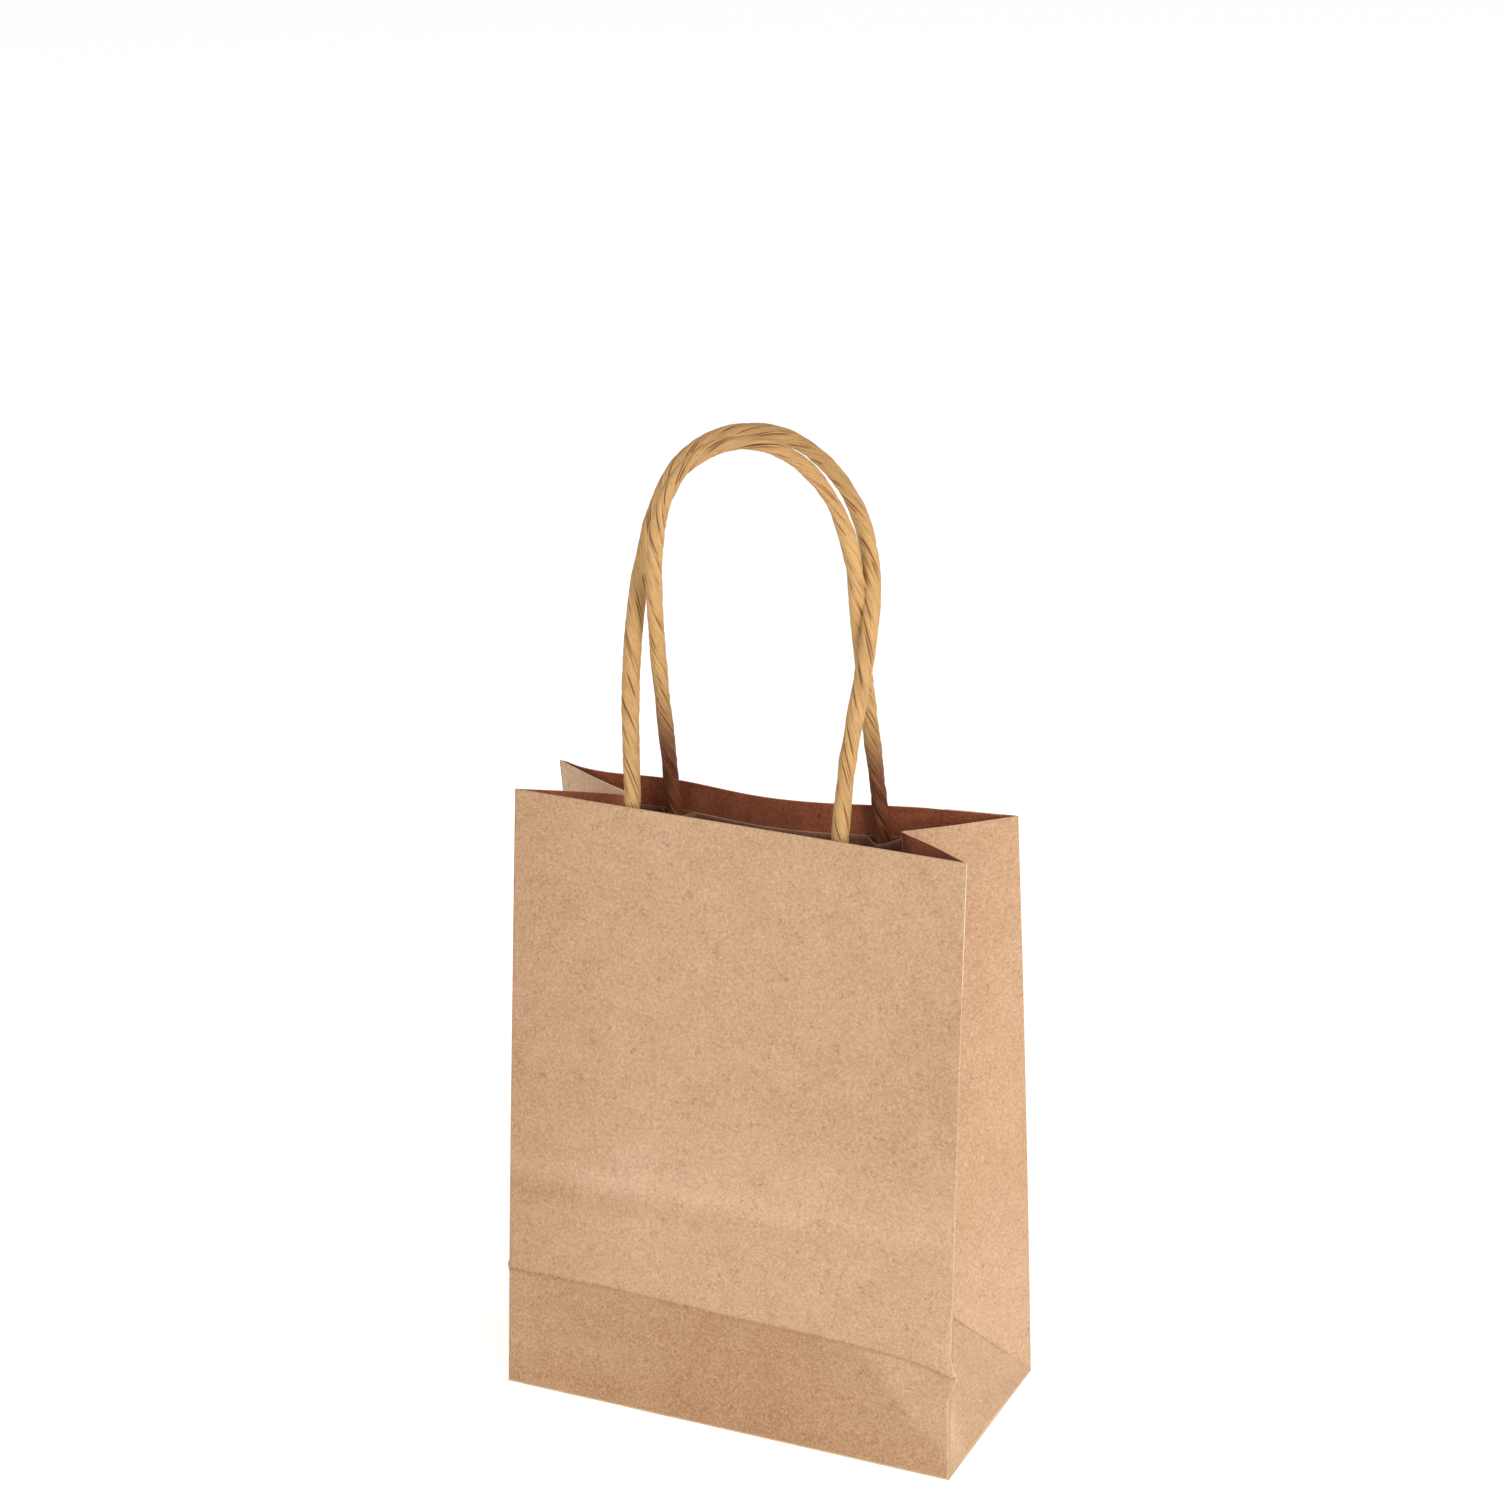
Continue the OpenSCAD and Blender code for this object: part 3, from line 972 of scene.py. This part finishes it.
class GIFTBAG_OT_walls(bpy.types.Operator):
    """Make the front wall, the back wall and the glued seam on the back"""

    bl_idname = "gift_bag.walls"
    bl_label = "Walls and Seam"

    def wall(self, name, face, low, high, node, is_flap=False):
        """One sheet of a wall, between two places across it."""
        ends = [end for end in (low, high) if abs(end) == HALF_WIDTH]
        across = columns(low, high, low in ends, high in ends)
        ups = [wall_rows(FOOT[face], crease_height(face, u)) for u in across]

        def place(i, j):
            inset = 0.0 if is_flap else seam_sink(face, across[i])
            return wall_point(face, across[i], ups[i][j], inset)

        def wear(i, j):
            to_corner = min(abs(across[i] - end) for end in ends)
            return fold_wear(to_corner, ups[i][j], FOOT[face])

        sheet = paper_sheet(
            name,
            len(across),
            len(ups[0]),
            place,
            outward=(0.0, face, 0.0),
            wear=wear,
            tone=lambda i, j: wall_painted_shading(face, across[i], ups[i][j]),
        )
        give_thickness(sheet, shape().paper)
        add_materials(sheet, *paper_layers())
        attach(sheet, BODY_OF_WALL[face])
        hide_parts(node)

    def execute(self, context):
        self.wall("front_sheet", FRONT, -HALF_WIDTH, HALF_WIDTH, "front_panel")
        self.wall("back_sheet", BACK, -HALF_WIDTH, PANEL_EDGE, "back_panel")
        self.wall("back_seam_lap", BACK, SEAM_EDGE, HALF_WIDTH, "seam_flap", is_flap=True)
        return {"FINISHED"}


class GIFTBAG_OT_sides(bpy.types.Operator):
    """Make the four halves of the folded sides"""

    bl_idname = "gift_bag.sides"
    bl_label = "Folded Sides"

    def half(self, side, face):
        """Half a side, from its corner to the crease in its middle."""
        rows = wall_rows(FOOT[face], crease_height(face, side * HALF_WIDTH))
        over = 1.3 if face == FRONT else 0.0
        shares = [c / FOLD for c in columns(0.0, FOLD, True, False, 1.25)]

        def across(i, j):
            """How far from the corner a point is: less below the diagonal fold, more where halves lap."""
            widest = min(FOLD + over, rows[j] + 3.0)
            if widest < FOLD:
                return shares[i] * widest
            return shares[i] * FOLD if i < len(shares) - 1 else FOLD + over

        sheet = paper_sheet(
            f"{SIDE_NAME[side]}_{NAME_OF[face]}_side",
            len(shares),
            len(rows),
            lambda i, j: side_point(side, face, across(i, j), rows[j]),
            outward=(side, -face * 0.5, 0.0),
            wear=lambda i, j: fold_wear(across(i, j), rows[j]),
            tone=lambda i, j: self.tone(side, face, rows[j]),
        )
        give_thickness(sheet, shape().paper)
        add_materials(sheet, *paper_layers())
        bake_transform(sheet)
        web, fold = f"{NAME_OF[face]}_{SIDE_NAME[side]}_web", f"{SIDE_NAME[side]}_{NAME_OF[face]}_fold"
        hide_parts(web, fold)

    def tone(self, side, face, height):
        """Painted light and shade on half a side: lighter at its foot, and at its rim lighter or darker by
        the way it faces.
        """
        if (side, face) == (LEFT, BACK):
            return 0.32 * smooth((height - 120.0) / 20.0)
        if (side, face) == (RIGHT, FRONT):
            return 0.15 * smooth((height - 130.0) / 15.0)
        rim = -0.05 * smooth((height - 95.0) / 60.0)
        low = 0.10 * smooth((60.0 - height) / 35.0)
        return rim + low

    def execute(self, context):
        for side in (LEFT, RIGHT):
            for face in (FRONT, BACK):
                self.half(side, face)
        return {"FINISHED"}


class GIFTBAG_OT_low_triangles(bpy.types.Operator):
    """Make the low triangle that each side folds over"""

    bl_idname = "gift_bag.low_triangles"
    bl_label = "Low Triangles"

    def tone(self, side, across, height):
        """The crumple beside the front right corner catches the light."""
        crumple = 0.22 * bell(across - 9.0, 5.0) * bell(height - 9.0, 9.0) if side == RIGHT else 0.0
        # Painted light: the whole triangle is a little lighter, and the crumple has a painted highlight.
        return 0.05 + crumple

    def execute(self, context):
        width, rows = 2.0 * FOLD, 26
        across = evenly(0.0, width, 0.9) + [width]
        for side in (LEFT, RIGHT):

            def height(i, j):
                return min(across[i], width - across[i]) * j / rows

            sheet = paper_sheet(
                f"{SIDE_NAME[side]}_low_triangle",
                len(across),
                rows + 1,
                lambda i, j: low_triangle_point(side, across[i], height(i, j)),
                outward=(side, 0.0, 0.3),
                wear=lambda i, j: 0.7 if j == 0 else 0.0,
                tone=lambda i, j: self.tone(side, across[i], height(i, j)),
                merge=True,
            )
            give_thickness(sheet, shape().paper)
            sheet.modifiers["paper"].material_offset_rim = 0
            add_materials(sheet, *paper_layers())
            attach(sheet, "bag_base")
            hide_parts(f"{SIDE_NAME[side]}_lower_gusset")
        return {"FINISHED"}


class GIFTBAG_OT_patches(bpy.types.Operator):
    """Make the two glued paper strips that hold each cord's ends"""

    bl_idname = "gift_bag.patches"
    bl_label = "Patches"

    def strip(self, name, face, inset):
        """One paper strip on the inside of a wall, at a distance given across and up."""
        near = 7.0
        left, right = loop_root(face, LEFT)[0], loop_root(face, RIGHT)[0]
        edges = (-PATCH_HALF, left - near, left + near, right - near, right + near, PATCH_HALF)
        across = []
        for low, high, step in zip(edges, edges[1:], (1.5, 0.35, 2.0, 0.35, 1.5)):
            across += evenly(low, high, step)
        across.append(PATCH_HALF)
        rows = evenly(PATCH_FOOT, PATCH_TOP, 1.0) + [PATCH_TOP]

        def place(i, j):
            u, height = across[i], rows[j]
            return wall_point(face, u, height, inset(u, height) + seam_sink(face, u))

        sheet = paper_sheet(name, len(across), len(rows), place, outward=(0.0, face, 0.0))
        give_thickness(sheet, shape().paper)
        # Both faces of a patch take the dark patch colour, which is painted shade.
        skin = material_of("patch_strip_shaded")
        add_materials(sheet, skin, skin, material_of("patch_cut_edge_shaded"))
        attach(sheet, BODY_OF_WALL[face])
        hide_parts(name.replace("_strip", ""))

    def execute(self, context):
        layer = shape().paper / MM + PATCH_GAP
        sizes = context.scene.gift_bag_cords
        radius = sizes.diameter / MM / 2.0
        cord_foot = PATCH_TOP - sizes.end_length / MM

        def hump(face, across, height):
            """The cover's rise over a cord."""
            rise = 0.0
            for side in (LEFT, RIGHT):
                away = abs(across - loop_root(face, side)[0]) / (2.5 * radius)
                if away < 1.0:
                    rise += 2.3 * radius * (0.5 + 0.5 * math.cos(math.pi * away))
            share = 0.7 + 0.3 * smooth((height - cord_foot) / 9.0)
            return rise * share * smooth((height - PATCH_FOOT) / (cord_foot - PATCH_FOOT - 0.5))

        for face in (FRONT, BACK):
            name = NAME_OF[face]
            self.strip(f"{name}_patch_base_strip", face, lambda u, h: layer)
            self.strip(f"{name}_patch_cover_strip", face, lambda u, h: 2.0 * layer + hump(face, u, h))
        return {"FINISHED"}


class GIFTBAG_OT_bottom(bpy.types.Operator):
    """Finish the glued layers of the bottom"""

    bl_idname = "gift_bag.bottom"
    bl_label = "Bottom Layers"

    def execute(self, context):
        for name in ("base_front_flap", "base_back_flap", "base_left_tuck", "base_right_tuck"):
            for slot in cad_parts[name].material_slots:
                slot.material = material_of("kraft_bottom")
        return {"FINISHED"}


class GIFTBAG_OT_stage(bpy.types.Operator):
    """Make the white floor, the soft light and the even sky"""

    bl_idname = "gift_bag.stage"
    bl_label = "Stage and Light"

    def lamp(self, name, place, power):
        """A large square soft light that faces the bag."""
        data = bpy.data.lights.new(name, "AREA")
        data.shape = "SQUARE"
        data.size = 0.9
        data.energy = power
        light = bpy.data.objects.new(name, data)
        bpy.context.scene.collection.objects.link(light)
        light.location = place
        towards = Vector((0.0, 0.0, 0.1)) - Vector(place)
        light.rotation_euler = towards.to_track_quat("-Z", "Y").to_euler()

    def execute(self, context):
        stage = context.scene.gift_bag_stage
        context.scene.view_settings.view_transform = "Standard"
        bm = bmesh.new()
        bmesh.ops.create_grid(bm, x_segments=8, y_segments=8, size=12000.0)
        floor = finished_mesh("floor", bm)
        material, tree, shader = new_material("white_floor")
        place = tree.nodes.new("ShaderNodeTexCoord").outputs["Object"]
        speckle = noise_node(tree, place, 40.0, 2.0)
        tree.links.new(range_node(tree, speckle, 0.0, 1.0, 0.9, 1.0), shader.inputs["Roughness"])
        shader.inputs["Base Color"].default_value = (0.86, 0.86, 0.86, 1.0)
        shader.inputs["Emission Color"].default_value = (1.0, 1.0, 1.0, 1.0)
        shader.inputs["Emission Strength"].default_value = stage.floor_glow
        add_materials(floor, material)
        world = bpy.data.worlds.new("even_sky")
        world.use_nodes = True
        background = world.node_tree.nodes["Background"]
        background.inputs["Color"].default_value = (1.0, 1.0, 1.0, 1.0)
        background.inputs["Strength"].default_value = stage.sky
        context.scene.world = world
        self.lamp("key_light", (1.3, -0.65, 0.75), stage.key)
        self.lamp("fill_light", (-0.8, -1.3, 0.8), stage.key * 0.3)
        return {"FINISHED"}


STEPS = (
    GIFTBAG_OT_camera,
    GIFTBAG_OT_handles,
    GIFTBAG_OT_walls,
    GIFTBAG_OT_sides,
    GIFTBAG_OT_low_triangles,
    GIFTBAG_OT_patches,
    GIFTBAG_OT_bottom,
    GIFTBAG_OT_stage,
)
GROUPS = {
    "gift_bag_shape": GiftBagShape,
    "gift_bag_cords": GiftBagCords,
    "gift_bag_finish": GiftBagFinish,
    "gift_bag_stage": GiftBagStage,
}


class GIFTBAG_PT_panel(bpy.types.Panel):
    """The bag's sizes, colours and steps"""

    bl_idname = "GIFTBAG_PT_panel"
    bl_label = "Kraft Paper Gift Bag"
    bl_space_type = "VIEW_3D"
    bl_region_type = "UI"
    bl_category = "Gift Bag"

    def draw(self, context):
        for name, group in GROUPS.items():
            box = self.layout.box()
            box.label(text=group.__doc__)
            for key in group.__annotations__:
                box.prop(getattr(context.scene, name), key)
        for step in STEPS:
            self.layout.operator(step.bl_idname)


def register():
    """Register the groups, the steps and the panel."""
    for name, group in GROUPS.items():
        bpy.utils.register_class(group)
        setattr(bpy.types.Scene, name, bpy.props.PointerProperty(type=group))
    for step in (*STEPS, GIFTBAG_PT_panel):
        bpy.utils.register_class(step)


def unregister():
    """Take them all away again."""
    for step in reversed((*STEPS, GIFTBAG_PT_panel)):
        bpy.utils.unregister_class(step)
    for name, group in GROUPS.items():
        delattr(bpy.types.Scene, name)
        bpy.utils.unregister_class(group)


def main():
    """Build the bag and its stage."""
    register()
    bpy.ops.gift_bag.camera()
    bpy.ops.gift_bag.handles()
    bpy.ops.gift_bag.walls()
    bpy.ops.gift_bag.sides()
    bpy.ops.gift_bag.low_triangles()
    bpy.ops.gift_bag.patches()
    bpy.ops.gift_bag.bottom()
    bpy.ops.gift_bag.stage()


if __name__ == "__main__":
    main()
